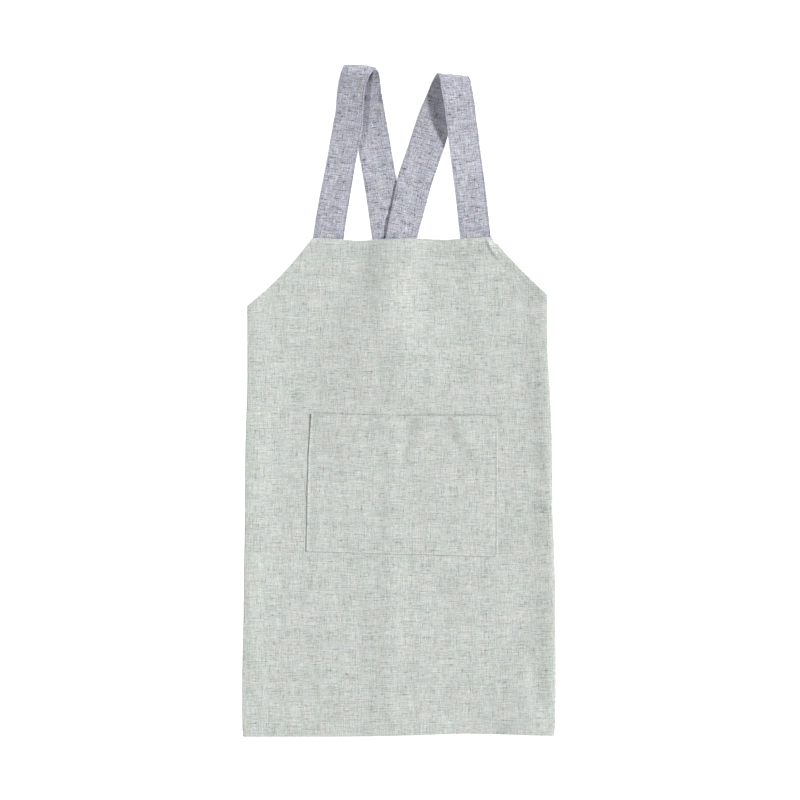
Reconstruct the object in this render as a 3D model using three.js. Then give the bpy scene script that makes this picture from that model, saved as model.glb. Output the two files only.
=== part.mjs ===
// A wrap-around canvas apron with one front pocket and two shoulder straps that cross at the
// back, laid out flat with its front up. Millimetres, +Z up, +Y towards the shoulders. The
// origin lies on the floor below the middle of the outline.

import * as THREE from 'three';

// Cloth walls
const CLOTH = 1.2;
const HEM_LAYER = 0.8;
const STRAP_WALL = 1.8;
const GAP = 0.3;

// Body outline
const HEM_Y = -570;
const BIB_TOP_Y = 278;
const BIB_LEFT_X = -147;
const BIB_RIGHT_X = 158;
const HEM_WAVE = { rise: 5, x: 130, spread: 130 };
const BIB_SAG = { fall: 4, x: -68, spread: 35 };
const SIDE_FOLDS = [
  { y: 300, left: -258, right: 252 },
  { y: 25, left: -258, right: 252.5 },
  { y: -30, left: -259.2, right: 258 },
  { y: -70, left: -261.2, right: 259.5 },
  { y: -190, left: -261.5, right: 260 },
  { y: -270, left: -263, right: 264 },
  { y: -370, left: -264, right: 265 },
  { y: -440, left: -266.3, right: 266 },
  { y: -540, left: -266.3, right: 266.3 },
  { y: -575, left: -264.5, right: 264 },
];

// Armholes fall from the bib's corners to the side folds, and run on along the back flaps
const ARMHOLE = {
  left: { steep: 1.33, ease: 0.0026 },
  right: { steep: 1.13, ease: 0.0012 },
};
const FLAP_FALL = 130;
const FLAP_WIDTH = 250;
const FLAP_HEM_RISE = { height: 4, reach: 60 };

// Bends and rests
const FOLD_RADIUS = 2.5;
const ROLL_REACH = 30;
const FRONT_OVER_FLAPS = 2.4;
const FLAP_RAMP = 30;
const STRAP_MARGIN = 23;
const STRAP_RAMP = 24;

// Hems, as deep as they are turned
const LOWER_HEM = 20;
const BIB_HEM = 24;
const ARMHOLE_HEM = 14;
const BACK_HEM = 14;
const HEM_STEP = 3;

// Pocket corners and mouth
const POCKET = {
  topLeft: { x: -148, y: -19.5 },
  topRight: { x: 168, y: -23 },
  lowLeft: { x: -156, y: -254 },
  lowRight: { x: 168, y: -263.5 },
  mouthSag: 2.5,
  mouthGape: 7,
  mouthHem: 24,
};

// Straps, a row for each section from the bib over the shoulder to the back flap: the middle of
// the wall, the width, the turn of its across line in plan and that line's lean, in degrees
const STRAP_LEFT = [
  { x: -123, y: 254, z: 0.9, width: 50, turn: -9.5, lean: 0 },
  { x: -119, y: 279, z: 0.9, width: 50, turn: -9.5, lean: 0 },
  { x: -110, y: 335, z: 2.8, width: 50, turn: -9.5, lean: 3 },
  { x: -97.5, y: 411, z: 6, width: 49, turn: -9.5, lean: 6 },
  { x: -90.5, y: 445, z: 9, width: 49.5, turn: -9.5, lean: 8 },
  { x: -84.8, y: 494, z: 13.5, width: 46.5, turn: -9, lean: 10 },
  { x: -82, y: 518, z: 15.5, width: 45, turn: -8.5, lean: 12 },
  { x: -78.5, y: 536, z: 17, width: 46.5, turn: -8, lean: 11 },
  { x: -74, y: 551, z: 18, width: 49.5, turn: -7.5, lean: 8 },
  { x: -70.5, y: 560.5, z: 16.5, width: 51.5, turn: -6, lean: 5 },
  { x: -66.5, y: 567.7, z: 10.5, width: 54, turn: -3, lean: 2 },
  { x: -62, y: 556, z: 1.6, width: 56, turn: 0, lean: 0 },
  { x: -58, y: 528, z: 0.9, width: 57, turn: 6, lean: 0 },
  { x: -49.5, y: 478, z: 0.9, width: 57, turn: 9, lean: 0 },
  { x: -37, y: 411, z: 0.9, width: 57, turn: 9.5, lean: 0 },
  { x: -25, y: 343, z: 0.9, width: 57, turn: 9.5, lean: 0 },
  { x: -16, y: 278, z: 0.9, width: 56, turn: 9, lean: 0 },
  { x: -11, y: 235, z: 0.9, width: 56, turn: 5, lean: 0 },
  { x: -9.5, y: 192, z: 0.9, width: 55, turn: 5, lean: 0 },
  { x: -2, y: 140, z: 0.9, width: 55, turn: 13, lean: 0 },
  { x: 7, y: 112, z: 1.6, width: 55, turn: 19, lean: 0 },
  { x: 17, y: 88, z: 3.3, width: 55, turn: 22, lean: 0 },
  { x: 33, y: 50, z: 3.3, width: 55, turn: 23, lean: 0 },
];
const STRAP_RIGHT = [
  { x: 133, y: 254, z: 0.9, width: 50, turn: 7.5, lean: 0 },
  { x: 130, y: 280, z: 0.9, width: 50, turn: 7.5, lean: 0 },
  { x: 123, y: 345, z: 1.6, width: 50, turn: 7.5, lean: 0 },
  { x: 113.5, y: 418, z: 6.5, width: 50, turn: 7.5, lean: -1 },
  { x: 104, y: 490, z: 11.5, width: 50.5, turn: 6, lean: -3 },
  { x: 97.5, y: 530, z: 11.5, width: 51.5, turn: 1, lean: -2 },
  { x: 94.5, y: 548, z: 9, width: 52, turn: -4, lean: 0 },
  { x: 91, y: 553.5, z: 5, width: 53, turn: -6, lean: 0 },
  { x: 87.5, y: 546, z: 1.2, width: 54, turn: -10, lean: 0 },
  { x: 75, y: 512, z: 0.9, width: 56, turn: -19, lean: 0 },
  { x: 61, y: 478, z: 0.9, width: 57, turn: -19, lean: 0 },
  { x: 45, y: 428, z: 1.2, width: 58, turn: -17, lean: 0 },
  { x: 28.5, y: 377, z: 3.1, width: 57, turn: -16.5, lean: 0 },
  { x: 13, y: 326, z: 3.1, width: 56, turn: -16, lean: 0 },
  { x: 3, y: 278, z: 3, width: 54, turn: -14, lean: 0 },
  { x: -7, y: 235, z: 3, width: 54, turn: -13, lean: 0 },
  { x: -18, y: 192, z: 3, width: 54, turn: -17, lean: 0 },
  { x: -48, y: 124, z: 3.1, width: 54, turn: -27, lean: 0 },
  { x: -70, y: 90, z: 3.3, width: 54, turn: -34, lean: 0 },
  { x: -94, y: 57, z: 3.3, width: 54, turn: -36, lean: 0 },
];
const SECTIONS_PER_ROW = 3;

const PANEL_STEP = 20;
const FLAP_STEP = 25;
const BEND_STEPS = 5;
const BODY_ROWS = 22;
const BODY_ROWS_EASE = 1.35;
const POCKET_COLUMNS = 16;
const POCKET_ROWS = 10;

const CANVAS = new THREE.MeshStandardMaterial({ color: 0xc9cec9, roughness: 0.92, metalness: 0 });
const STRAP_CANVAS = new THREE.MeshStandardMaterial({ color: 0xb0b1bb, roughness: 0.92, metalness: 0 });

const mix = THREE.MathUtils.lerp;
const ramp = THREE.MathUtils.smoothstep;
const hump = (x, at) => Math.exp(-(((x - at.x) / at.spread) ** 2));

// A closed wall between an outer and an inner sheet of points, both with the same rows and
// columns. The outer sheet is seen the right way round from its own side.
function wall(outer, inner) {
  const rows = outer.length;
  const columns = outer[0].length;
  const points = [];
  const triangles = [];
  const number = (sheet, row, column) => (sheet * rows + row) * columns + column;
  for (const sheet of [outer, inner]) {
    for (const row of sheet) {
      for (const point of row) points.push(point.x, point.y, point.z);
    }
  }
  const quad = (a, b, c, d) => triangles.push(a, b, c, a, c, d);
  for (let row = 0; row + 1 < rows; row += 1) {
    for (let column = 0; column + 1 < columns; column += 1) {
      for (const [sheet, near, far] of [[0, column, column + 1], [1, column + 1, column]]) {
        quad(number(sheet, row, near), number(sheet, row, far),
          number(sheet, row + 1, far), number(sheet, row + 1, near));
      }
    }
    for (const [column, low, high] of [[0, row + 1, row], [columns - 1, row, row + 1]]) {
      quad(number(0, low, column), number(1, low, column), number(1, high, column), number(0, high, column));
    }
  }
  for (let column = 0; column + 1 < columns; column += 1) {
    for (const [row, near, far] of [[0, column, column + 1], [rows - 1, column + 1, column]]) {
      quad(number(0, row, far), number(0, row, near), number(1, row, near), number(1, row, far));
    }
  }
  const geometry = new THREE.BufferGeometry();
  geometry.setAttribute('position', new THREE.Float32BufferAttribute(points, 3));
  geometry.setIndex(triangles);
  return geometry;
}

function piece(name, geometry, material) {
  const mesh = new THREE.Mesh(geometry, material);
  mesh.name = name;
  return mesh;
}

// Positions from one value to another, in even steps near the one asked for
function steps(from, to, size) {
  const count = Math.ceil(Math.abs(to - from) / size);
  return Array.from({ length: count + 1 }, (_, i) => mix(from, to, i / count));
}

// Sections of a strap, drawn smoothly through its rows and kept on the floor
function strapSections(rows) {
  const middle = new THREE.CatmullRomCurve3(rows.map((row) => new THREE.Vector3(row.x, row.y, row.z)));
  const spans = rows.length - 1;
  return Array.from({ length: spans * SECTIONS_PER_ROW + 1 }, (_, i) => {
    const at = i / SECTIONS_PER_ROW;
    const low = Math.min(Math.floor(at), spans - 1);
    const value = (column) => mix(rows[low][column], rows[low + 1][column], at - low);
    const turn = THREE.MathUtils.degToRad(value('turn'));
    const lean = THREE.MathUtils.degToRad(value('lean'));
    const across = new THREE.Vector3(
      Math.cos(turn) * Math.cos(lean), Math.sin(turn) * Math.cos(lean), Math.sin(lean));
    const centre = middle.getPoint(at / spans);
    const outward = across.clone().cross(middle.getTangent(at / spans)).normalize();
    centre.z = Math.max(centre.z, STRAP_WALL / 2);
    return { centre, across, outward, half: value('width') / 2 };
  });
}

function strap(sections) {
  const sheet = (side) => sections.map(({ centre, across, outward, half }) => [-half, 0, half].map((w) => (
    centre.clone().addScaledVector(across, w).addScaledVector(outward, side * STRAP_WALL / 2))));
  return wall(sheet(1), sheet(-1));
}

const leftSections = strapSections(STRAP_LEFT);
const rightSections = strapSections(STRAP_RIGHT);

// Where the outline's side folds run at a height, and where the flat front starts inside them
function foldEdges(y) {
  const below = SIDE_FOLDS.findIndex((row) => row.y <= y);
  const low = SIDE_FOLDS[Math.max(below, 1)];
  const high = SIDE_FOLDS[Math.max(below, 1) - 1];
  const share = (y - low.y) / (high.y - low.y);
  const inset = FOLD_RADIUS + CLOTH / 2;
  return { left: mix(low.left, high.left, share) + inset, right: mix(low.right, high.right, share) - inset };
}

const shoulder = foldEdges(BIB_TOP_Y);
const armholeDrop = (side, along) => (side.steep - side.ease * along) * along;
const armholeSlope = (side, along) => side.steep - 2 * side.ease * along;

// Top edge of the front at a place across it
function frontTop(x) {
  if (x < BIB_LEFT_X) return BIB_TOP_Y - armholeDrop(ARMHOLE.left, BIB_LEFT_X - x);
  if (x > BIB_RIGHT_X) return BIB_TOP_Y - armholeDrop(ARMHOLE.right, x - BIB_RIGHT_X);
  return BIB_TOP_Y - BIB_SAG.fall * hump(x, BIB_SAG);
}

// Top edge of a back flap, at a distance past the start of its fold
function flapTop(side, past) {
  const along = side === 'left' ? BIB_LEFT_X - shoulder.left : shoulder.right - BIB_RIGHT_X;
  const slope = armholeSlope(ARMHOLE[side], along);
  return frontTop(shoulder[side]) - FLAP_FALL * (1 - Math.exp(-slope * past / FLAP_FALL));
}

const hemLine = (x) => HEM_Y + HEM_WAVE.rise * hump(x, HEM_WAVE);

// How high the front's underside rests on the flaps and straps below it
function frontRest(x, y) {
  const bend = Math.PI * FOLD_RADIUS;
  const fromLeft = x - foldEdges(y).left;
  const fromRight = foldEdges(y).right - x;
  const side = fromLeft < fromRight ? 'left' : 'right';
  const fromFold = Math.max(Math.min(fromLeft, fromRight), 0);
  const overFlap = 1 - ramp(y - flapTop(side, fromFold + bend), 0, FLAP_RAMP);
  let rest = FRONT_OVER_FLAPS * overFlap;
  for (const { centre, half } of [...leftSections, ...rightSections]) {
    const clear = Math.hypot(x - centre.x, y - centre.y) - half - STRAP_MARGIN;
    const covered = centre.y < BIB_TOP_Y + STRAP_MARGIN;
    const top = centre.z + STRAP_WALL / 2 + GAP;
    if (covered) rest = Math.max(rest, top * (1 - ramp(clear, 0, STRAP_RAMP)));
  }
  const roll = Math.exp(-((fromFold / ROLL_REACH) ** 2));
  return mix(rest, 2 * FOLD_RADIUS, roll);
}

// Stations across the cloth, from the left flap's back edge round the front to the right one's
function bodyStations() {
  const stations = [];
  const bend = Math.PI * FOLD_RADIUS;
  const flap = [FLAP_WIDTH, FLAP_WIDTH - BACK_HEM, FLAP_WIDTH - BACK_HEM - HEM_STEP,
    ...steps(FLAP_WIDTH - BACK_HEM - FLAP_STEP, bend, FLAP_STEP)];
  const bends = steps(bend, 0, bend / BEND_STEPS).slice(1, -1);
  const back = (past) => (past > FLAP_WIDTH - BACK_HEM - HEM_STEP / 2 ? 1 : 0);
  for (const past of [...flap, ...bends]) stations.push({ side: 'left', past, hem: back(past) });
  const front = [...steps(shoulder.left, BIB_LEFT_X, PANEL_STEP),
    ...steps(BIB_LEFT_X, BIB_RIGHT_X, PANEL_STEP).slice(1),
    ...steps(BIB_RIGHT_X, shoulder.right, PANEL_STEP).slice(1)];
  for (const x of front) stations.push({ side: 'front', x });
  for (const past of [...flap, ...bends].reverse()) stations.push({ side: 'right', past, hem: back(past) });
  return stations;
}

// The wall's middle at a station and height, with the way its outer face looks
function clothAt(station, y) {
  const edges = foldEdges(y);
  if (station.side === 'front') {
    const share = (station.x - shoulder.left) / (shoulder.right - shoulder.left);
    const x = mix(edges.left, edges.right, share);
    return { x, z: frontRest(x, y) + CLOTH / 2, outX: 0, outZ: 1 };
  }
  const sign = station.side === 'left' ? -1 : 1;
  const bend = Math.PI * FOLD_RADIUS;
  const angle = Math.min(station.past, bend) / FOLD_RADIUS;
  const flat = Math.max(station.past - bend, 0);
  return {
    x: edges[station.side] + sign * (FOLD_RADIUS * Math.sin(angle) - flat),
    z: CLOTH / 2 + FOLD_RADIUS * (1 + Math.cos(angle)),
    outX: sign * Math.sin(angle),
    outZ: Math.cos(angle),
  };
}

// Body: one cloth, thicker along its turned hems
function body() {
  const columns = bodyStations().map((station) => {
    const isFront = station.side === 'front';
    const top = isFront ? frontTop(station.x) : flapTop(station.side, station.past);
    const onBib = isFront && station.x >= BIB_LEFT_X && station.x <= BIB_RIGHT_X;
    const topHem = onBib ? BIB_HEM : ARMHOLE_HEM;
    const tuck = isFront ? 0 : FLAP_HEM_RISE.height * ramp(station.past, 0, FLAP_HEM_RISE.reach);
    const low = hemLine(clothAt(station, HEM_Y).x) + tuck;
    const from = low + LOWER_HEM + HEM_STEP;
    const to = top - topHem - HEM_STEP;
    const heights = [{ y: low, hem: 1 }, { y: low + LOWER_HEM, hem: 1 }];
    for (let row = 0; row <= BODY_ROWS; row += 1) {
      const share = 1 - (1 - row / BODY_ROWS) ** BODY_ROWS_EASE;
      heights.push({ y: mix(from, to, share), hem: station.hem ?? 0 });
    }
    heights.push({ y: top - topHem, hem: 1 }, { y: top, hem: 1 });
    return heights.map(({ y, hem }) => ({ y, hem, ...clothAt(station, y) }));
  });
  const sheet = (sign) => columns[0].map((_, row) => columns.map((column) => {
    const { x, y, z, outX, outZ, hem } = column[row];
    const raised = HEM_LAYER * hem * (1 + sign * outZ) / 2;
    const off = sign * (CLOTH / 2 + raised);
    return new THREE.Vector3(x + outX * off, y, z + outZ * off);
  }));
  return wall(sheet(1), sheet(-1));
}

// Pocket: a patch sewn down round three sides, its hemmed mouth standing a little open
function pocket() {
  const seat = FRONT_OVER_FLAPS + CLOTH + GAP;
  const { topLeft, topRight, lowLeft, lowRight } = POCKET;
  const depth = topLeft.y - lowLeft.y;
  const hemShare = 1 - POCKET.mouthHem / depth;
  const stepShare = hemShare - HEM_STEP / depth;
  const shares = [...steps(0, stepShare, 1 / POCKET_ROWS), hemShare, 1];
  const point = (across, up, raise) => {
    const sag = POCKET.mouthSag * up * Math.sin(Math.PI * across);
    const gape = POCKET.mouthGape * up * Math.sin(Math.PI * across);
    return new THREE.Vector3(
      mix(mix(lowLeft.x, lowRight.x, across), mix(topLeft.x, topRight.x, across), up),
      mix(mix(lowLeft.y, lowRight.y, across), mix(topLeft.y, topRight.y, across), up) - sag,
      seat + gape + raise);
  };
  const sheet = (thick) => shares.map((up) => steps(0, 1, 1 / POCKET_COLUMNS).map((across) => (
    point(across, up, thick && CLOTH + (up >= hemShare ? HEM_LAYER : 0)))));
  return wall(sheet(1), sheet(0));
}

const apron = new THREE.Group();
apron.add(piece('body', body(), CANVAS));
apron.add(piece('pocket', pocket(), CANVAS));
apron.add(piece('strap_left', strap(leftSections), STRAP_CANVAS));
apron.add(piece('strap_right', strap(rightSections), STRAP_CANVAS));

export default apron;
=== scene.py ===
import math
from collections import namedtuple

import bmesh
import bpy
import numpy as np
from mathutils import Matrix, Vector, noise


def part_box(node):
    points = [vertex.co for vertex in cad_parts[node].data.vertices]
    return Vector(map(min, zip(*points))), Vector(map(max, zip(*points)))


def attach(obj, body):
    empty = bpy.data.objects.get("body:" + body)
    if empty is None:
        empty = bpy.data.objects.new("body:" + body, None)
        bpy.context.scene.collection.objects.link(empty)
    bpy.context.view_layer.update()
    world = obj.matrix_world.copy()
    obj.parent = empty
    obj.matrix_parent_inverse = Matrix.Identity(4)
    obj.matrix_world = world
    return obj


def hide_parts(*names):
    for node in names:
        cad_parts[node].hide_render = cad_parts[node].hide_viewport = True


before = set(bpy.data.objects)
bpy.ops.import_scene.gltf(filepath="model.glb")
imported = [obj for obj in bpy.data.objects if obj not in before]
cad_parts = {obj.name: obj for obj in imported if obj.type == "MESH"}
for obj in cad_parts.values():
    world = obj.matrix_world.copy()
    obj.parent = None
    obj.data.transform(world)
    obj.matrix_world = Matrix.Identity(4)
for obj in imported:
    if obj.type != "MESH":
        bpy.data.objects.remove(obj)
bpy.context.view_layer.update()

# Straps
# Two flat straps of lilac-grey canvas, doubled and edge-stitched. Each is sewn behind a corner of
# the bib, loops over at the shoulder, crosses the other and is sewn to the opposite back flap.
STRAP_WALL = 0.0018
STRAP_STEPS = 8
EDGE_STITCH = 0.0030
# How far the right edge drops where the strap turns over at the shoulder, along how much of the
# strap, and the shares of its half width between which the drop grows
FOLD_DROOP = {"left": 0.0045, "right": 0.0}
FOLD_REACH = 0.014
DROOP_BAND = (0.3, 1.1)
# Slight sideways ripple of the cloth, with so many waves to a metre across and along
Ripple = namedtuple("Ripple", "size across along")
STRAP_RIPPLE = Ripple(0.0004, 40, 28)
# Sections from the bib to the back flap: the wall's middle, the width, the turn of its across line
# in plan and that line's lean, in degrees
Section = namedtuple("Section", "x y z width turn lean")
STRAP_ROWS = {
    "left": (
        Section(-0.1235, 0.2540, 0.0009, 0.0530, -9.5, 0),
        Section(-0.1195, 0.2790, 0.0009, 0.0530, -9.5, 0),
        Section(-0.1108, 0.3350, 0.0028, 0.0520, -9.5, -1),
        Section(-0.0969, 0.4110, 0.0070, 0.0498, -9.5, 1),
        Section(-0.0908, 0.4450, 0.0106, 0.0500, -9.5, 2),
        Section(-0.0861, 0.4700, 0.0128, 0.0505, -9.5, 2),
        Section(-0.0834, 0.4940, 0.0142, 0.0475, -9, 4),
        Section(-0.0820, 0.5180, 0.0155, 0.0470, -8.5, 7),
        Section(-0.0793, 0.5360, 0.0168, 0.0475, -8, 9),
        Section(-0.0745, 0.5520, 0.0178, 0.0500, -7, 9),
        Section(-0.0706, 0.5625, 0.0163, 0.0520, -5, 5),
        Section(-0.0668, 0.5707, 0.0115, 0.0525, -1, 4),
        Section(-0.0618, 0.5590, 0.0106, 0.0600, 0, 21),
        Section(-0.0596, 0.5420, 0.0076, 0.0595, 3, 14),
        Section(-0.0572, 0.5220, 0.0068, 0.0585, 6, 12),
        Section(-0.0538, 0.5020, 0.0056, 0.0580, 8, 10),
        Section(-0.0497, 0.4780, 0.0038, 0.0575, 9, 7),
        Section(-0.0430, 0.4430, 0.0018, 0.0570, 9.5, 2),
        Section(-0.0374, 0.4110, 0.0010, 0.0562, 9.5, 0),
        Section(-0.0264, 0.3430, 0.0009, 0.0562, 9.5, 0),
        Section(-0.0168, 0.2780, 0.0009, 0.0574, 9, 0),
        Section(-0.0110, 0.2350, 0.0009, 0.0560, 5, 0),
        Section(-0.0095, 0.1920, 0.0009, 0.0550, 5, 0),
        Section(-0.0020, 0.1400, 0.0009, 0.0550, 13, 0),
        Section(0.0070, 0.1120, 0.0016, 0.0550, 19, 0),
        Section(0.0170, 0.0880, 0.0033, 0.0550, 22, 0),
        Section(0.0330, 0.0500, 0.0033, 0.0550, 23, 0),
    ),
    "right": (
        Section(0.1336, 0.2540, 0.0009, 0.0530, 7.5, 0),
        Section(0.1306, 0.2800, 0.0013, 0.0530, 7.5, 0),
        Section(0.1236, 0.3450, 0.0018, 0.0530, 7.5, -2),
        Section(0.1171, 0.3950, 0.0036, 0.0530, 7.5, -5),
        Section(0.1124, 0.4300, 0.0048, 0.0530, 7.5, -6),
        Section(0.1096, 0.4536, 0.0080, 0.0530, 7.5, -7),
        Section(0.1056, 0.4820, 0.0118, 0.0530, 6.5, -7),
        Section(0.1034, 0.5000, 0.0132, 0.0532, 5, -6),
        Section(0.0982, 0.5300, 0.0127, 0.0535, 1, -4),
        Section(0.0950, 0.5490, 0.0092, 0.0535, -4, -1),
        Section(0.0912, 0.5552, 0.0050, 0.0535, -6, 0),
        Section(0.0872, 0.5470, 0.0022, 0.0550, -10, 2),
        Section(0.0742, 0.5120, 0.0034, 0.0578, -19, 5),
        Section(0.0608, 0.4780, 0.0034, 0.0594, -19, 5),
        Section(0.0450, 0.4280, 0.0028, 0.0604, -17, 1),
        Section(0.0278, 0.3770, 0.0030, 0.0598, -16.5, -1),
        Section(0.0156, 0.3260, 0.0032, 0.0567, -16, -1.5),
        Section(0.0092, 0.3000, 0.0036, 0.0550, -15, -3.5),
        Section(0.0043, 0.2780, 0.0035, 0.0530, -14, -1),
        Section(-0.0070, 0.2350, 0.0030, 0.0540, -13, 0),
        Section(-0.0180, 0.1920, 0.0030, 0.0540, -17, 0),
        Section(-0.0480, 0.1240, 0.0031, 0.0540, -27, 0),
        Section(-0.0700, 0.0900, 0.0033, 0.0540, -34, 0),
        Section(-0.0940, 0.0570, 0.0033, 0.0540, -36, 0),
    ),
}
# Lift of the faces at places in from each edge: a soft rim, the sunk seam and the flat middle
EdgeLift = namedtuple("EdgeLift", "inset lift")
STRAP_EDGE = (
    EdgeLift(0.0, -0.00025),
    EdgeLift(0.0008, 0.00005),
    EdgeLift(0.0019, 0.00005),
    EdgeLift(EDGE_STITCH, -0.00028),
    EdgeLift(0.0042, 0.0),
    EdgeLift(0.0085, 0.00010),
    EdgeLift(0.0150, 0.00012),
)
CanvasColours = namedtuple("CanvasColours", "ground dark green rose blue")
STRAP_COLOURS = CanvasColours(
    ground=(0.474, 0.479, 0.540, 1),
    dark=(0.0, 0.006, 0.050, 1),
    green=(0.466, 0.483, 0.531, 1),
    rose=(0.486, 0.475, 0.534, 1),
    blue=(0.469, 0.477, 0.560, 1),
)
STRAP_THREAD = (0.33, 0.33, 0.385, 1)
# Threads to a metre in the weave, the wider runs of light and dark ones that show from afar, and the
# levels of their noise between which a run becomes a slub
THREADS_PER_METRE = 1500
COARSE_RUNS = 540
FINE_RUNS = 620
SLUB_BAND = (0.22, 0.5)
# Soft patches of tint: so many to a metre, the level of their noise where they start, and its shift
Patch = namedtuple("Patch", "tint grains start shift")
PATCHES = (Patch("green", 36, 0.02, 23.5), Patch("rose", 42, 0.05, 31.9), Patch("blue", 50, 0.05, 41.3))
PATCH_FULL = 0.22


def mix(low, high, share):
    """Value at a share of the way from low to high."""
    return low + (high - low) * share


def ramp(value, low, high):
    """0 below low, 1 above high and smooth between."""
    share = min(max((value - low) / (high - low), 0), 1)
    return share * share * (3 - 2 * share)


def smooth_through(points, at):
    """Point and direction on a smooth line through points, at a place counted in points."""
    low = min(int(at), len(points) - 2)
    here, there = points[low], points[low + 1]
    before = points[low - 1] if low else 2 * here - there
    after = points[low + 2] if low + 2 < len(points) else 2 * there - here
    gaps = [(b - a).length ** 0.5 for a, b in ((before, here), (here, there), (there, after))]
    leaving = (here - before) / gaps[0] - (there - before) / (gaps[0] + gaps[1])
    leaving = leaving * gaps[1] + (there - here)
    arriving = (after - there) / gaps[2] - (after - here) / (gaps[1] + gaps[2])
    arriving = arriving * gaps[1] + (there - here)
    square = 3 * (there - here) - 2 * leaving - arriving
    cube = 2 * (here - there) + leaving + arriving
    s = at - low
    return here + s * (leaving + s * (square + s * cube)), leaving + s * (2 * square + 3 * s * cube)


# A cut across a strap: its middle, the ways across and out of the cloth, half the width there, and
# how far along the strap it is
Cut = namedtuple("Cut", "centre across outward half run")


def strap_cuts(rows):
    """Cuts along a strap, kept on the floor."""
    points = [Vector((row.x, row.y, row.z)) for row in rows]
    cuts = []
    run = 0.0
    for step in range((len(rows) - 1) * STRAP_STEPS + 1):
        at = step / STRAP_STEPS
        low = min(int(at), len(rows) - 2)
        width, turn, lean = (mix(a, b, at - low) for a, b in zip(rows[low][3:], rows[low + 1][3:]))
        turn, lean = math.radians(turn), math.radians(lean)
        across = Vector((math.cos(turn) * math.cos(lean), math.sin(turn) * math.cos(lean), math.sin(lean)))
        centre, along = smooth_through(points, at)
        centre.z = max(centre.z, STRAP_WALL / 2)
        run += (centre - cuts[-1].centre).length if cuts else 0
        cuts.append(Cut(centre, across, across.cross(along).normalized(), width / 2, run))
    return cuts


class Dye:
    """A socket of a cloth's material: sums on it add Math nodes there."""

    def __init__(self, tree, socket=None):
        self.tree = tree
        self.socket = socket

    def node(self, kind, settings=None, inputs=None, output=0):
        """Adds a node, sets it up, feeds its sockets and gives one of its outputs."""
        node = self.tree.nodes.new(kind)
        for name, value in (settings or {}).items():
            setattr(node, name, value)
        for name, value in (inputs or {}).items():
            if isinstance(value, Dye):
                self.tree.links.new(value.socket, node.inputs[name])
            else:
                node.inputs[name].default_value = value
        return Dye(self.tree, node.outputs[output] if node.outputs else None)

    def math(self, operation, *values):
        """A Math node on sockets and numbers."""
        return self.node("ShaderNodeMath", {"operation": operation}, dict(enumerate(values)))

    def __add__(self, other):
        return self.math("ADD", self, other)

    __radd__ = __add__

    def __sub__(self, other):
        return self.math("SUBTRACT", self, other)

    def __rsub__(self, other):
        return self.math("SUBTRACT", other, self)

    def __mul__(self, other):
        return self.math("MULTIPLY", self, other)

    __rmul__ = __mul__

    def above(self, low, high):
        """0 below low, 1 above high and smooth between."""
        settings = {"interpolation_type": "SMOOTHSTEP"}
        return self.node("ShaderNodeMapRange", settings, {"Value": self, "From Min": low, "From Max": high})


def canvas(name, colours, contrast, long_slubs, short_slubs):
    """Heathered canvas on a piece's cut: plain weave with uneven, slubby threads both ways, so many
    slubs to a metre, faint bars and clouds of thicker threads, and soft patches of tint."""
    material = bpy.data.materials.new(name)
    material.use_nodes = True
    material.node_tree.nodes.clear()
    dye = Dye(material.node_tree)
    cut = dye.node("ShaderNodeUVMap", {"uv_map": "cut"})

    def grain(across, along, detail, shift):
        """Noise about 0 over the cut, with so many grains to a metre each way."""
        inputs = {"Vector": cut, "Location": (shift, shift, 0), "Scale": (across, along, 1)}
        place = dye.node("ShaderNodeMapping", {"vector_type": "POINT"}, inputs)
        speck = dye.node("ShaderNodeTexNoise", {"noise_dimensions": "2D"},
                         {"Vector": place, "Scale": 1.0, "Detail": detail, "Roughness": 0.55})
        return speck - 0.5

    def tinted(share, base, other):
        """Colour at a share of the way from base to other."""
        settings = {"data_type": "RGBA", "clamp_factor": False}
        return dye.node("ShaderNodeMix", settings, {0: share, 6: base, 7: other}, output=2)

    weft = grain(long_slubs, COARSE_RUNS, 1, 3.1) + 0.9 * grain(short_slubs, FINE_RUNS, 1, 7.7)
    warp = grain(COARSE_RUNS, long_slubs, 1, 11.3) + 0.9 * grain(FINE_RUNS, short_slubs, 1, 13.9)
    fleck = grain(FINE_RUNS, FINE_RUNS, 1, 17.9)
    slubs = weft.above(*SLUB_BAND) + 0.8 * warp.above(*SLUB_BAND)
    bars = grain(8, 80, 0, 53.7) + grain(80, 8, 0, 59.3)
    clouds = grain(20, 22, 1, 61.1)
    darker = 0.8 * weft + 0.7 * warp + 1.3 * fleck + 0.45 * slubs + 0.18 * bars + 0.09 * clouds
    colour = colours.ground
    for patch in PATCHES:
        share = grain(patch.grains, patch.grains, 0, patch.shift).above(patch.start, PATCH_FULL)
        colour = tinted(share, colour, getattr(colours, patch.tint))
    colour = tinted(contrast * darker, colour, colours.dark)

    across = dye.node("ShaderNodeSeparateXYZ", inputs={"Vector": cut}, output="X")
    along = dye.node("ShaderNodeSeparateXYZ", inputs={"Vector": cut}, output="Y")
    turn = math.pi * THREADS_PER_METRE
    weave = dye.math("SINE", across * turn) * dye.math("SINE", along * turn)
    relief = 0.4 * weave + weft + warp
    bump = dye.node("ShaderNodeBump", inputs={"Height": relief, "Strength": 0.4, "Distance": 0.00025})
    shader = dye.node("ShaderNodeBsdfPrincipled", inputs={
        "Base Color": colour,
        "Roughness": 0.92 - 0.1 * weft,
        "Specular IOR Level": 0.2,
        "Sheen Weight": 0.1,
        "Sheen Roughness": 0.6,
        "Normal": bump,
    })
    dye.node("ShaderNodeOutputMaterial", inputs={"Surface": shader})
    return material


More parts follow.
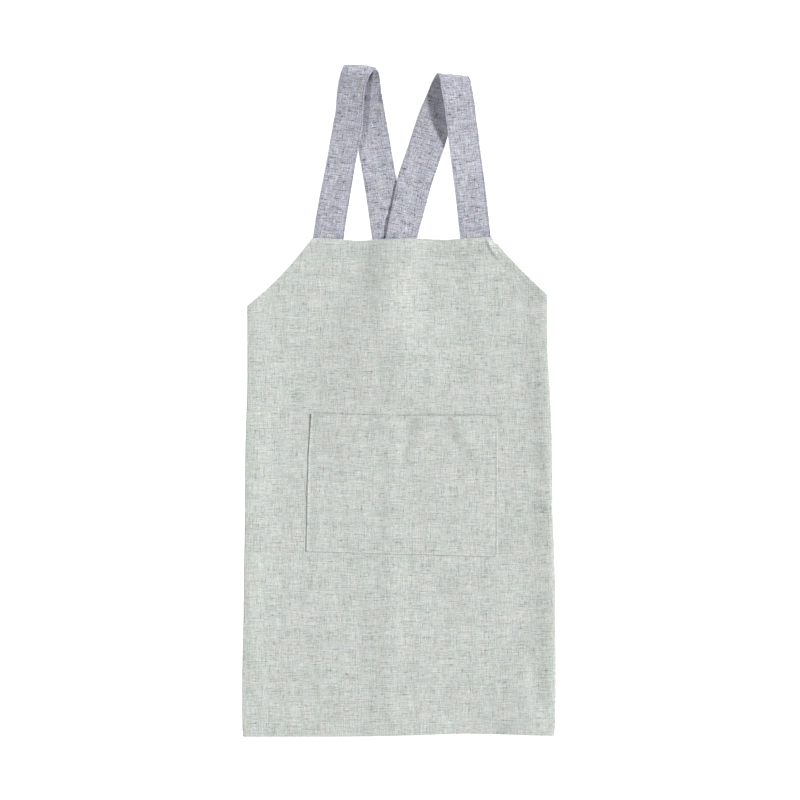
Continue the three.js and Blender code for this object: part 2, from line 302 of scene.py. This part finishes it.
def cloth_piece(name, columns, rows, place, wall, material):
    """A closed wall of cloth. place() gives a grid corner's spot on the outer face, its spot on the
    cut, and the share of the wall's thickness there."""
    form = bmesh.new()
    bmesh.ops.create_grid(form, x_segments=columns - 1, y_segments=rows - 1, size=0.5)
    shares = form.verts.layers.deform.verify()
    cut = form.loops.layers.uv.new("cut")
    spots = {}
    for corner in form.verts:
        column = round((corner.co.x + 0.5) * (columns - 1))
        row = round((corner.co.y + 0.5) * (rows - 1))
        corner.co, spots[corner], corner[shares][0] = place(column, row)
    for face in form.faces:
        face.smooth = True
        for loop in face.loops:
            loop[cut].uv = spots[loop.vert]
    mesh = bpy.data.meshes.new(name)
    form.to_mesh(mesh)
    form.free()
    mesh.materials.append(material)
    piece = bpy.data.objects.new(name, mesh)
    bpy.context.scene.collection.objects.link(piece)
    piece.vertex_groups.new(name="wall")
    thick = piece.modifiers.new("wall", "SOLIDIFY")
    thick.thickness = wall
    thick.offset = -1
    thick.vertex_group = "wall"
    soft = piece.modifiers.new("soft edges", "SUBSURF")
    soft.levels = soft.render_levels = 1
    return piece


def thread(name, colour):
    """Sewing thread, a little uneven in its twist."""
    material = bpy.data.materials.new(name)
    material.use_nodes = True
    material.node_tree.nodes.clear()
    dye = Dye(material.node_tree)
    place = dye.node("ShaderNodeTexCoord", output="Object")
    twist = dye.node("ShaderNodeTexNoise", inputs={"Vector": place, "Scale": 900.0, "Detail": 1.0})
    shaded = tuple(0.72 * part for part in colour[:3]) + (1,)
    tint = dye.node("ShaderNodeMix", {"data_type": "RGBA"}, {0: twist, 6: shaded, 7: colour}, output=2)
    bump = dye.node("ShaderNodeBump", inputs={"Height": twist, "Strength": 0.3, "Distance": 0.0001})
    shader = dye.node("ShaderNodeBsdfPrincipled", inputs={
        "Base Color": tint,
        "Roughness": 0.75 + 0.2 * twist,
        "Specular IOR Level": 0.3,
        "Normal": bump,
    })
    dye.node("ShaderNodeOutputMaterial", inputs={"Surface": shader})
    return material


STITCH_PITCH = 0.0034
STITCH_SIZE = Vector((0.0013, 0.00034, 0.00026))
STITCH_SINK = 0.0001


def seam_stitches(line):
    """Evenly spaced stitches on a line of spots: where each lies, the way it runs and its up."""
    gone = [0.0]
    for (a, _), (b, _) in zip(line, line[1:]):
        gone.append(gone[-1] + (b - a).length)
    stitches = []
    count = int(gone[-1] / STITCH_PITCH)
    for i in range(count):
        at = (i + 0.5) * gone[-1] / count
        low = int(np.searchsorted(gone, at)) - 1
        share = (at - gone[low]) / (gone[low + 1] - gone[low])
        (a, up), (b, next_up) = line[low], line[low + 1]
        stitches.append((a.lerp(b, share), (b - a).normalized(), up.lerp(next_up, share).normalized()))
    return stitches


def sew(name, lines, material):
    """All the stitches of some seam lines, as one piece."""
    form = bmesh.new()
    bmesh.ops.create_uvsphere(form, u_segments=6, v_segments=4, radius=1)
    bmesh.ops.scale(form, vec=STITCH_SIZE, verts=form.verts)
    stitch = bpy.data.meshes.new("stitch")
    form.to_mesh(stitch)
    form.clear()
    for line in lines:
        for spot, along, up in seam_stitches(line):
            turn = Matrix((along, up.cross(along), up)).transposed().to_4x4()
            sewn_stitch = stitch.copy()
            sewn_stitch.transform(Matrix.Translation(spot) @ turn)
            form.from_mesh(sewn_stitch)
            bpy.data.meshes.remove(sewn_stitch)
    bpy.data.meshes.remove(stitch)
    mesh = bpy.data.meshes.new(name)
    form.to_mesh(mesh)
    form.free()
    mesh.shade_smooth()
    mesh.materials.append(material)
    piece = bpy.data.objects.new(name, mesh)
    bpy.context.scene.collection.objects.link(piece)
    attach(piece, "root")
    return piece


strap_canvas = canvas("strap canvas", STRAP_COLOURS, contrast=1.07, long_slubs=42, short_slubs=120)
strap_thread = thread("strap thread", STRAP_THREAD)
cuts_of = {side: strap_cuts(rows) for side, rows in STRAP_ROWS.items()}


def make_strap(side, cuts):
    """One strap, with a row of stitches along each edge of both faces."""
    insets = [edge.inset for edge in STRAP_EDGE]
    lifts = [edge.lift for edge in STRAP_EDGE]
    columns = 2 * len(insets) + 1
    top = max(cuts, key=lambda cut: cut.centre.y)

    def place(column, row):
        centre, across, outward, half, run = cuts[row]
        edge = min(column, columns - 1 - column)
        inset = insets[edge] if edge < len(insets) else half
        lift = lifts[edge] if edge < len(lifts) else lifts[-1]
        aside = (half - inset) * (1 if column > edge else -1)
        waves = Vector((aside * STRAP_RIPPLE.across, run * STRAP_RIPPLE.along, half))
        ripple = noise.noise(waves) * STRAP_RIPPLE.size
        spot = centre + across * (aside + ripple) + outward * (STRAP_WALL / 2 + lift)
        near_top = math.exp(-(((run - top.run) / FOLD_REACH) ** 2))
        spot.y -= FOLD_DROOP[side] * near_top * ramp(aside / half, *DROOP_BAND)
        spot.z = max(spot.z, 0)
        return spot, (aside + half, run), 1 + 2 * lift / STRAP_WALL

    strap = cloth_piece(f"strap_{side}_canvas", columns, len(cuts), place, STRAP_WALL, strap_canvas)
    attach(strap, "root")
    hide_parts(f"strap_{side}")
    lines = []
    for edge in (-1, 1):
        for face in (-1, 1):
            lift = face * (STRAP_WALL / 2 - STITCH_SINK)
            lines.append([(cut.centre + cut.across * edge * (cut.half - EDGE_STITCH) + cut.outward * lift,
                           cut.outward * face) for cut in cuts])
    stitching = sew(f"strap_{side}_stitching", lines, strap_thread)


for side, cuts in cuts_of.items():
    make_strap(side, cuts)

# Body
# One piece of pale sage-grey canvas: the front with its bib, rolled side folds and the two back
# flaps that lie behind it. Its edges are turned and stitched, and the bib lies over the straps.
CLOTH = 0.0012
HEM_LAYER = 0.0008
GAP = 0.0003
HEM_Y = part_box("body")[0].y
BIB_TOP_Y = 0.278
BIB_LEFT_X = -0.147
BIB_RIGHT_X = 0.158
# Soft waves of the edges: how far the edge goes up there, where, and how far the wave spreads
Wave = namedtuple("Wave", "height x spread")
HEM_WAVE = Wave(0.005, 0.130, 0.130)
BIB_WAVES = (Wave(-0.004, -0.068, 0.035), Wave(-0.0015, -0.006, 0.022), Wave(-0.0022, 0.075, 0.035),
             Wave(0.0022, 0.158, 0.022))
ARMHOLE_NICK = Wave(-0.0036, 0.1638, 0.0032)
# The two side folds as seen from above, from the shoulders down
SideFold = namedtuple("SideFold", "y left right")
SIDE_FOLDS = (
    SideFold(0.300, -0.2575, 0.2528),
    SideFold(0.090, -0.2575, 0.2532),
    SideFold(0.046, -0.2575, 0.2558),
    SideFold(0.013, -0.2578, 0.2580),
    SideFold(-0.055, -0.2602, 0.2607),
    SideFold(-0.090, -0.2611, 0.2619),
    SideFold(-0.190, -0.2615, 0.2622),
    SideFold(-0.290, -0.2632, 0.2662),
    SideFold(-0.360, -0.2639, 0.2669),
    SideFold(-0.460, -0.2663, 0.2676),
    SideFold(-0.540, -0.2663, 0.2670),
    SideFold(-0.575, -0.2645, 0.2640),
)
# An armhole's slope at the bib's corner, and how fast it eases outwards
Armhole = namedtuple("Armhole", "steep ease")
ARMHOLE = {"left": Armhole(1.33, 2.6), "right": Armhole(1.13, 1.2)}
FLAP_FALL = 0.130
FLAP_WIDTH = 0.250
FLAP_HEM_RISE = 0.004
FLAP_HEM_REACH = 0.060
BEND = 0.0078
FOLD_OUT = 0.0008
# Soft roll of the front beside each side fold: its height, how far its crest is in from the fold, its
# reach, its fall to the fold, the height above the hem where it starts to fade, and its share that
# is left beside the bib
Roll = namedtuple("Roll", "height inset reach fall fade bib")
ROLLS = {"left": Roll(0.0038, 0.007, 0.034, 0.0002, 0.160, 1.0),
         "right": Roll(0.0030, 0.007, 0.020, 0.0010, 0.065, 0.6)}
# The share of a roll that is left at the hem, and the heights between which it fades there and
# beside the bib
ROLL_LEFT_AT_HEM = 0.2
ROLL_FADE = (-0.05, 0.03)
ROLL_BIB = (-0.03, 0.15)
# How high the front lies over the flaps and where there are none, and how far it takes to come down
FRONT_OVER_FLAPS = 0.0024
FRONT_OVER_GAP = 0.0012
FLAP_RAMP = 0.060
# The front over a strap: where it leaves the strap's edge, how far it takes to come down, how much
# more it takes for each metre below the bib's edge, a dome that grows and fades going up, and how far
# past the bib's edge the straps still lift it
STRAP_MARGIN = -0.004
STRAP_RAMP = 0.027
STRAP_RAMP_GROWTH = 0.12
STRAP_DOME = 0.0014
DOME_GROWS = (0.040, 0.180)
DOME_FADES = (0.215, 0.258)
PAST_BIB = 0.014
# Hems: the depth of each turned layer, the soft step past it, the seam's place in from its edge,
# where the seams end, and the step at which they follow the cloth
HEM_DEPTH = {"lower": 0.020, "bib": 0.024, "armhole": 0.014, "back": 0.014}
HEM_STEP = (0.004, 0.006)
HEM_SEAM = 0.0025
SEAM_END = 0.004
SEAM_STEP = 0.02
CANVAS_COLOURS = CanvasColours(
    ground=(0.594, 0.627, 0.585, 1),
    dark=(0.0, 0.056, 0.023, 1),
    green=(0.578, 0.628, 0.583, 1),
    rose=(0.607, 0.622, 0.587, 1),
    blue=(0.588, 0.624, 0.602, 1),
)
CANVAS_THREAD = (0.66, 0.69, 0.66, 1)
# Slight sway of the laid cloth, with so many waves to a metre across and up
Sway = namedtuple("Sway", "height across up shift")
FRONT_SWAYS = (Sway(0.0006, 13, 11, 0.7), Sway(0.00036, 34, 30, 4.2))
# Soft ridges that the layers below and the folding leave in the front, each on a path that runs down
Ridge = namedtuple("Ridge", "path height left right")
FRONT_RIDGES = (
    Ridge(((-0.010, -0.050), (-0.010, -0.580)), 0.0013, 0.018, 0.012),
    Ridge(((-0.022, -0.350), (-0.014, -0.580)), 0.0013, 0.036, 0.055),
    Ridge(((0.224, -0.535), (0.220, -0.600)), 0.0042, 0.052, 0.030),
    Ridge(((-0.185, 0.262), (-0.195, 0.150)), 0.0020, 0.030, 0.045),
    Ridge(((-0.033, 0.269), (-0.033, 0.187), (-0.067, 0.122), (-0.090, 0.090)), 0.0007, 0.017, 0.030),
    Ridge(((0.007, 0.263), (-0.005, 0.190), (0.006, 0.139), (0.020, 0.090)), 0.0017, 0.030, 0.026),
    Ridge(((-0.014, 0.125), (-0.014, 0.015)), 0.0020, 0.055, 0.030),
    Ridge(((0.119, 0.256), (0.124, 0.120)), 0.0008, 0.0065, 0.030),
    Ridge(((0.1510, 0.2700), (0.1640, 0.2490)), 0.0018, 0.0028, 0.0060),
    Ridge(((-0.137, 0.277), (-0.143, 0.268)), -0.0009, 0.0030, 0.0030),
)


def hump(x, wave):
    """Height of a wave at a place across the cloth."""
    return wave.height * math.exp(-(((x - wave.x) / wave.spread) ** 2))


def ridge_lift(x, y, ridge):
    """Height of a ridge at a place, with its own spread to the left and right of its path."""
    nearest = None
    for (ax, ay), (bx, by) in zip(ridge.path, ridge.path[1:]):
        dx, dy = bx - ax, by - ay
        share = min(max(((x - ax) * dx + (y - ay) * dy) / (dx * dx + dy * dy), 0), 1)
        away = math.hypot(x - ax - share * dx, y - ay - share * dy)
        if nearest is None or away < nearest[0]:
            nearest = (away, (x - ax) * dy - (y - ay) * dx)
    away, side = nearest
    spread = ridge.right if side < 0 else ridge.left
    return ridge.height * math.exp(-((away / spread) ** 2))


def sway_lift(x, y, sway):
    """Height of a sway at a place."""
    return sway.height * noise.noise(Vector((x * sway.across, y * sway.up, sway.shift)))


def fold_edges(y):
    """Where the flat front starts inside the side folds, at a height."""
    below = next(i for i, fold in enumerate(SIDE_FOLDS) if fold.y <= y)
    low, high = SIDE_FOLDS[max(below, 1)], SIDE_FOLDS[max(below, 1) - 1]
    share = (y - low.y) / (high.y - low.y)
    return {"left": mix(low.left, high.left, share) + FOLD_OUT,
            "right": mix(low.right, high.right, share) - FOLD_OUT}


SHOULDER = fold_edges(BIB_TOP_Y)


def armhole_drop(side, along):
    """How far an armhole's edge has come down, at a distance out from the bib's corner."""
    return (ARMHOLE[side].steep - ARMHOLE[side].ease * along) * along


def front_top(x):
    """Top edge of the front at a place across it."""
    if x < BIB_LEFT_X:
        return BIB_TOP_Y - armhole_drop("left", BIB_LEFT_X - x)
    waves = sum(hump(x, wave) for wave in BIB_WAVES)
    if x > BIB_RIGHT_X:
        return BIB_TOP_Y + waves + hump(x, ARMHOLE_NICK) - armhole_drop("right", x - BIB_RIGHT_X)
    return BIB_TOP_Y + waves


def flap_top(side, past):
    """Top edge of a back flap, at a distance past the start of its fold."""
    along = BIB_LEFT_X - SHOULDER["left"] if side == "left" else SHOULDER["right"] - BIB_RIGHT_X
    slope = ARMHOLE[side].steep - 2 * ARMHOLE[side].ease * along
    return front_top(SHOULDER[side]) - FLAP_FALL * (1 - math.exp(-slope * past / FLAP_FALL))


covered = [cut for cuts in cuts_of.values() for cut in cuts if cut.centre.y < BIB_TOP_Y + PAST_BIB]
covered_x = np.array([cut.centre.x for cut in covered])
covered_y = np.array([cut.centre.y for cut in covered])
covered_top = np.array([cut.centre.z + STRAP_WALL / 2 + GAP for cut in covered])
covered_half = np.array([cut.half for cut in covered])
covered_ramp = STRAP_RAMP + STRAP_RAMP_GROWTH * np.maximum(BIB_TOP_Y - covered_y, 0)
covered_dome = STRAP_DOME * np.array([ramp(y, *DOME_GROWS) - ramp(y, *DOME_FADES) for y in covered_y])


def roll_lift(side, from_fold, y):
    """Height of the soft roll beside a side fold."""
    roll = ROLLS[side]
    share = mix(ROLL_LEFT_AT_HEM, 1, ramp(y - HEM_Y - roll.fade, *ROLL_FADE))
    share *= mix(1, roll.bib, ramp(y, *ROLL_BIB))
    if from_fold < roll.inset:
        return share * (roll.height - roll.fall * (1 - from_fold / roll.inset) ** 2)
    return share * roll.height * math.exp(-(((from_fold - roll.inset) / roll.reach) ** 2))


def front_rest(x, y):
    """How high the front's underside rests on the flaps and straps below it."""
    edges = fold_edges(y)
    from_left, from_right = x - edges["left"], edges["right"] - x
    side = "left" if from_left < from_right else "right"
    from_fold = max(min(from_left, from_right), 0)
    off_flap = ramp(y - flap_top(side, from_fold + BEND), 0, FLAP_RAMP)
    rest = mix(FRONT_OVER_FLAPS, FRONT_OVER_GAP, off_flap)
    away = np.hypot(x - covered_x, y - covered_y)
    dome = covered_dome * np.clip(1 - (away / covered_half) ** 2, 0, 1)
    share = np.clip((away - covered_half - STRAP_MARGIN) / covered_ramp, 0, 1)
    over_straps = mix(covered_top + dome, rest, share * share * (3 - 2 * share))
    return max(rest, float(over_straps.max())) + roll_lift(side, from_fold, y)


def front_face(x, y):
    """Height of the front's upper face, without its hems."""
    ridges = sum(ridge_lift(x, y, ridge) for ridge in FRONT_RIDGES)
    sways = sum(sway_lift(x, y, sway) for sway in FRONT_SWAYS)
    return front_rest(x, y) + CLOTH + GAP + ridges + sways


def on_cloth(side, at, y):
    """Spot on the body's outer face and the way it looks there. On the front, at is the place
    across the shoulders. On a side, it is the distance past the start of the fold."""
    edges = fold_edges(y)
    if side == "front":
        share = (at - SHOULDER["left"]) / (SHOULDER["right"] - SHOULDER["left"])
        x = mix(edges["left"], edges["right"], share)
        return Vector((x, y, front_face(x, y))), Vector((0, 0, 1))
    sign = -1 if side == "left" else 1
    angle = math.pi * min(at / BEND, 1)
    x = edges[side] + sign * (FOLD_OUT * math.sin(angle) - max(at - BEND, 0))
    z = front_face(edges[side], y) / 2 * (1 + math.cos(angle))
    return Vector((x, y, z)), Vector((sign * math.sin(angle), 0, math.cos(angle)))


def cloth_ends(side, at):
    """The lower and upper edge's height at a place across the cloth, and the upper hem's depth."""
    low = HEM_Y + hump(on_cloth(side, at, HEM_Y)[0].x, HEM_WAVE)
    if side == "front":
        return low, front_top(at), HEM_DEPTH["bib" if BIB_LEFT_X <= at <= BIB_RIGHT_X else "armhole"]
    return low + FLAP_HEM_RISE * ramp(at, 0, FLAP_HEM_REACH), flap_top(side, at), HEM_DEPTH["armhole"]


def hem_share(inset, depth, step):
    """1 on a hem's turned layer, 0 past it and a soft step between."""
    return 1 - ramp(inset, depth - step[0], depth + step[1])


def even(low, high, step):
    """Even places from low to high, a step apart at most."""
    count = max(math.ceil(abs(high - low) / step), 1)
    return [mix(low, high, i / count) for i in range(count + 1)]


# Lines of the mesh across and up the cloth: close together at its edges and folds, along the crease
# below the right strap and round the pleat at the bib's right corner
NEAR_EDGE = (0, 0.0008, 0.003, 0.009)
NEAR_FOLD = (0, 0.0015, 0.0035, 0.006, 0.009)
FLAP_STEP = 0.022
BEND_STEPS = 6
FLAP_PAST = [FLAP_WIDTH - inset for inset in NEAR_EDGE]
FLAP_PAST += even(FLAP_WIDTH - HEM_DEPTH["back"], BEND, FLAP_STEP)[:-1]
FLAP_PAST += even(BEND, 0, BEND / BEND_STEPS)[:-1]
Stretch = namedtuple("Stretch", "start end step")
FRONT_STRETCHES = (
    Stretch(SHOULDER["left"] + 0.014, BIB_LEFT_X - 0.0015, 0.0075),
    Stretch(BIB_LEFT_X, -0.130, 0.0026),
    Stretch(-0.130, 0.104, 0.0082),
    Stretch(0.104, 0.128, 0.0040),
    Stretch(0.128, 0.146, 0.009),
    Stretch(0.146, BIB_RIGHT_X, 0.0016),
    Stretch(BIB_RIGHT_X + 0.0015, 0.172, 0.0016),
    Stretch(0.172, SHOULDER["right"] - 0.014, 0.0075),
)
FRONT_X = [SHOULDER["left"] + inset for inset in NEAR_FOLD]
for stretch in FRONT_STRETCHES:
    places = even(*stretch)
    FRONT_X += places[1:] if math.isclose(places[0], FRONT_X[-1]) else places
FRONT_X += [SHOULDER["right"] - inset for inset in reversed(NEAR_FOLD)]
STATIONS = [("left", past) for past in FLAP_PAST] + [("front", x) for x in FRONT_X]
STATIONS += [("right", past) for past in reversed(FLAP_PAST)]
ABOVE_HEM = NEAR_EDGE + (0.018, 0.024)
BELOW_TOP = (0.030, 0.0265, 0.023, 0.0195, 0.016, 0.0125, 0.009, 0.0065, 0.004, 0.002, 0.0008, 0)
MIDDLE_ROWS = 68
MIDDLE_EASE = 1.15


def body_spot(column, row):
    """A grid corner of the body, in the form that cloth_piece asks for."""
    side, at = STATIONS[column]
    low, top, top_hem = cloth_ends(side, at)
    if row < len(ABOVE_HEM):
        y = low + ABOVE_HEM[row]
    elif row >= len(ABOVE_HEM) + MIDDLE_ROWS:
        y = top - BELOW_TOP[row - len(ABOVE_HEM) - MIDDLE_ROWS]
    else:
        share = (row - len(ABOVE_HEM) + 1) / (MIDDLE_ROWS + 1)
        y = mix(low + ABOVE_HEM[-1], top - BELOW_TOP[0], 1 - (1 - share) ** MIDDLE_EASE)
    hem = max(hem_share(y - low, HEM_DEPTH["lower"], HEM_STEP), hem_share(top - y, top_hem, HEM_STEP))
    if side != "front" and FLAP_WIDTH - at < HEM_DEPTH["back"] - HEM_SEAM:
        hem = 1
    spot, outward = on_cloth(side, at, y)
    spot += outward * (HEM_LAYER * hem * (1 + outward.z) / 4)
    spot.z = max(spot.z, 0)
    turned = at if side == "front" else SHOULDER[side] + (at if side == "right" else -at)
    return spot, (turned, y), (CLOTH + HEM_LAYER * hem) / (CLOTH + HEM_LAYER)


body_canvas = canvas("canvas", CANVAS_COLOURS, contrast=0.58, long_slubs=32, short_slubs=106)
body_thread = thread("canvas thread", CANVAS_THREAD)
body = cloth_piece("body_canvas", len(STATIONS), len(ABOVE_HEM) + MIDDLE_ROWS + len(BELOW_TOP),
                   body_spot, CLOTH + HEM_LAYER, body_canvas)
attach(body, "root")
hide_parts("body")


def hem_lines():
    """Seam lines of the lower hem, the upper hems and the two back edges."""
    lower, upper = [], []
    for side, at in STATIONS:
        if side != "front" and at > FLAP_WIDTH - SEAM_END:
            continue
        low, top, top_hem = cloth_ends(side, at)
        lower.append(on_cloth(side, at, low + HEM_DEPTH["lower"] - HEM_SEAM))
        upper.append(on_cloth(side, at, top - top_hem + HEM_SEAM))
    lines = [lower, upper]
    for side in ("left", "right"):
        at = FLAP_WIDTH - HEM_DEPTH["back"] + HEM_SEAM
        low, top, _ = cloth_ends(side, at)
        lines.append([on_cloth(side, at, y) for y in even(low + SEAM_END, top - SEAM_END, SEAM_STEP)])
    return [[(spot + up * (HEM_LAYER * (1 + up.z) / 4), up) for spot, up in line] for line in lines]


body_stitching = sew("body_stitching", hem_lines(), body_thread)

# Pocket
# One wide patch pocket of the same canvas. Its sides and bottom are turned under and topstitched
# to the front, and its mouth has a turned hem and stands a little open.
POCKET_TOP = (Vector((-0.149, -0.0203)), Vector((0.168, -0.0240)))
POCKET_LOW = (Vector((-0.158, -0.2555)), Vector((0.168, -0.2642)))
POCKET_INNER = 0.020
# The left edge's bow, and the mouth's sag and gape, with powers that say where they are strongest
SIDE_BOW = 0.0023
SIDE_BOW_POWER = 1.5
MOUTH_SAG = 0.0025
MOUTH_GAPE = 0.0013
GAPE_UP_POWER = 6
GAPE_ACROSS_POWER = 0.15
# How far the right and lower edges are pressed down, and how far in from the edge
EDGE_PRESS = 0.0003
PRESS_REACH = 0.007
# The air left below the pocket's wall, and the least wall, in the sunk seam
UNDER_AIR = 0.0001
SEAM_WALL = 0.0002
# The mouth's hem: its depth, the soft step past it, and the share of its layer that shows at the sides
MOUTH_HEM = 0.024
MOUTH_STEP = (0.014, 0.012)
MOUTH_HEM_AT_SIDES = 0.3
POCKET_STITCH = 0.0035
POCKET_SEAM_END = 0.001
POCKET_SEAM_STEP = 0.01
# Where the pocket lies on the cloth that it is cut from
POCKET_CUT = Vector((2.3, 0.4))
POCKET_SWAY = Sway(0.0005, 24, 20, 9.1)
POCKET_RIDGES = (
    Ridge(((0.042, -0.026), (0.022, -0.095)), 0.0018, 0.011, 0.024),
    Ridge(((0.097, -0.042), (0.126, -0.082)), 0.0015, 0.013, 0.022),
    Ridge(((0.166, -0.180), (0.166, -0.250)), 0.0008, 0.012, 0.008),
)
POCKET_EDGE = (
    EdgeLift(0.0, -0.0009),
    EdgeLift(0.0006, -0.0004),
    EdgeLift(0.0013, -0.00025),
    EdgeLift(POCKET_STITCH, -0.0011),
    EdgeLift(0.0060, -0.0009),
    EdgeLift(0.0100, -0.0007),
    EdgeLift(0.0160, -0.0006),
)
POCKET_WIDTH = POCKET_TOP[1].x - POCKET_TOP[0].x
POCKET_DEPTH = POCKET_TOP[0].y - POCKET_LOW[0].y
POCKET_INSETS = [edge.inset for edge in POCKET_EDGE]
POCKET_STEP = 0.0075
NEAR_MOUTH = (0.030, 0.026, 0.023, 0.018, 0.011, 0.005, 0.0022, 0.0009, 0)
POCKET_COLUMNS = POCKET_INSETS + even(POCKET_INNER, POCKET_WIDTH - POCKET_INNER, POCKET_STEP)
POCKET_COLUMNS += [POCKET_WIDTH - inset for inset in reversed(POCKET_INSETS)]
POCKET_ROWS = POCKET_INSETS + even(POCKET_INNER, POCKET_DEPTH - NEAR_MOUTH[0], POCKET_STEP)[:-1]
POCKET_ROWS += [POCKET_DEPTH - inset for inset in NEAR_MOUTH]


def pocket_lift(across, up):
    """Height of the face over one flat layer: the turned left edge stands proud, and the right and
    lower edges are pressed flat."""
    inset = min(across, POCKET_WIDTH - across, up)
    lift = float(np.interp(inset, POCKET_INSETS, [edge.lift for edge in POCKET_EDGE]))
    return lift if inset == across else lift - EDGE_PRESS * (1 - ramp(inset, 0, PRESS_REACH))


def pocket_face(across, up):
    """Spot on the pocket's outer face, at distances from its left and lower edges."""
    share, rise = across / POCKET_WIDTH, up / POCKET_DEPTH
    low, high = POCKET_LOW[0].lerp(POCKET_LOW[1], share), POCKET_TOP[0].lerp(POCKET_TOP[1], share)
    flat = low.lerp(high, rise)
    flat.x -= SIDE_BOW * math.sin(math.pi * rise ** SIDE_BOW_POWER) * (1 - share)
    bow = max(math.sin(math.pi * share), 0)
    y = flat.y - MOUTH_SAG * rise * bow
    inset = min(across, POCKET_WIDTH - across, up)
    inside = ramp(inset, 0, POCKET_INNER)
    gape = MOUTH_GAPE * rise ** GAPE_UP_POWER * bow ** GAPE_ACROSS_POWER
    hem = HEM_LAYER * hem_share(POCKET_DEPTH - up, MOUTH_HEM, MOUTH_STEP)
    hem *= mix(MOUTH_HEM_AT_SIDES, 1, inside)
    ridges = sum(ridge_lift(flat.x, y, ridge) for ridge in POCKET_RIDGES) * inside
    sway = sway_lift(flat.x, y, POCKET_SWAY) * inside
    z = front_face(flat.x, y) + GAP + CLOTH + gape + pocket_lift(across, up) + hem + ridges + sway
    return Vector((flat.x, y, z))


def pocket_spot(column, row):
    """A grid corner of the pocket, in the form that cloth_piece asks for."""
    across, up = POCKET_COLUMNS[column], POCKET_ROWS[row]
    wall = max(CLOTH + pocket_lift(across, up) - UNDER_AIR, SEAM_WALL)
    if up > POCKET_DEPTH - MOUTH_HEM:
        wall += HEM_LAYER
    return pocket_face(across, up), POCKET_CUT + Vector((across, up)), wall / (CLOTH + HEM_LAYER)


pocket = cloth_piece("pocket_canvas", len(POCKET_COLUMNS), len(POCKET_ROWS), pocket_spot,
                     CLOTH + HEM_LAYER, body_canvas)
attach(pocket, "root")
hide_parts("pocket")
side_seam = even(POCKET_STITCH, POCKET_DEPTH - POCKET_SEAM_END, POCKET_SEAM_STEP)
low_seam = even(POCKET_STITCH, POCKET_WIDTH - POCKET_STITCH, POCKET_SEAM_STEP)
mouth_seam = even(POCKET_SEAM_END, POCKET_WIDTH - POCKET_SEAM_END, POCKET_SEAM_STEP)
sewn = [(POCKET_STITCH, up) for up in reversed(side_seam)]
sewn += [(across, POCKET_STITCH) for across in low_seam[1:]]
sewn += [(POCKET_WIDTH - POCKET_STITCH, up) for up in side_seam[1:]]
mouth = [(across, POCKET_DEPTH - MOUTH_HEM + HEM_SEAM) for across in mouth_seam]
pocket_lines = [[(pocket_face(*spot), Vector((0, 0, 1))) for spot in line] for line in (sewn, mouth)]
pocket_stitching = sew("pocket_stitching", pocket_lines, body_thread)

# Floor, light and camera
# A plain white floor, seen from above, under studio light that comes mostly from low on the right
# and less from low on the left.
FLOOR_DROP = 0.0006
FLOOR_SIZE = 14
VIEW_WIDTH = 1.360
VIEW_CENTRE = Vector((0.0021, 0.0026, 0.004))
LENS = 85
SENSOR = 36
Lamp = namedtuple("Lamp", "turn rise strength angle")
LAMPS = {
    "right": Lamp(turn=28, rise=26, strength=4.45, angle=5),
    "left": Lamp(turn=226, rise=30, strength=1.45, angle=6),
}
SKY_STRENGTH = 0.14

floor_mesh = bpy.data.meshes.new("floor")
floor_form = bmesh.new()
bmesh.ops.create_grid(floor_form, x_segments=1, y_segments=1, size=FLOOR_SIZE)
bmesh.ops.translate(floor_form, verts=floor_form.verts, vec=(0, 0, -FLOOR_DROP))
floor_form.to_mesh(floor_mesh)
floor_form.free()
floor_paper = bpy.data.materials.new("floor paper")
floor_paper.use_nodes = True
floor_paper.node_tree.nodes.clear()
paper = Dye(floor_paper.node_tree)
paper_shader = paper.node("ShaderNodeBsdfPrincipled", inputs={
    "Base Color": (0.86, 0.86, 0.86, 1),
    "Roughness": 1.0,
    "Specular IOR Level": 0.0,
    "Emission Color": (1, 1, 1, 1),
    "Emission Strength": 0.72,
})
paper.node("ShaderNodeOutputMaterial", inputs={"Surface": paper_shader})
floor_mesh.materials.append(floor_paper)
floor = bpy.data.objects.new("floor", floor_mesh)
bpy.context.scene.collection.objects.link(floor)

sky = bpy.data.worlds.new("soft sky")
sky.use_nodes = True
sky.node_tree.nodes["Background"].inputs["Color"].default_value = (1, 1, 1, 1)
sky.node_tree.nodes["Background"].inputs["Strength"].default_value = SKY_STRENGTH
bpy.context.scene.world = sky

for name, lamp in LAMPS.items():
    light = bpy.data.lights.new(name, "SUN")
    light.energy = lamp.strength
    light.angle = math.radians(lamp.angle)
    sun = bpy.data.objects.new(name, light)
    sun.rotation_euler = (0, math.radians(90 - lamp.rise), math.radians(lamp.turn))
    bpy.context.scene.collection.objects.link(sun)

lens = bpy.data.cameras.new("camera")
lens.lens = LENS
lens.sensor_width = SENSOR
camera = bpy.data.objects.new("camera", lens)
camera.location = VIEW_CENTRE + Vector((0, 0, VIEW_WIDTH * LENS / SENSOR))
bpy.context.scene.collection.objects.link(camera)
bpy.context.scene.camera = camera
bpy.context.scene.view_settings.view_transform = "Standard"
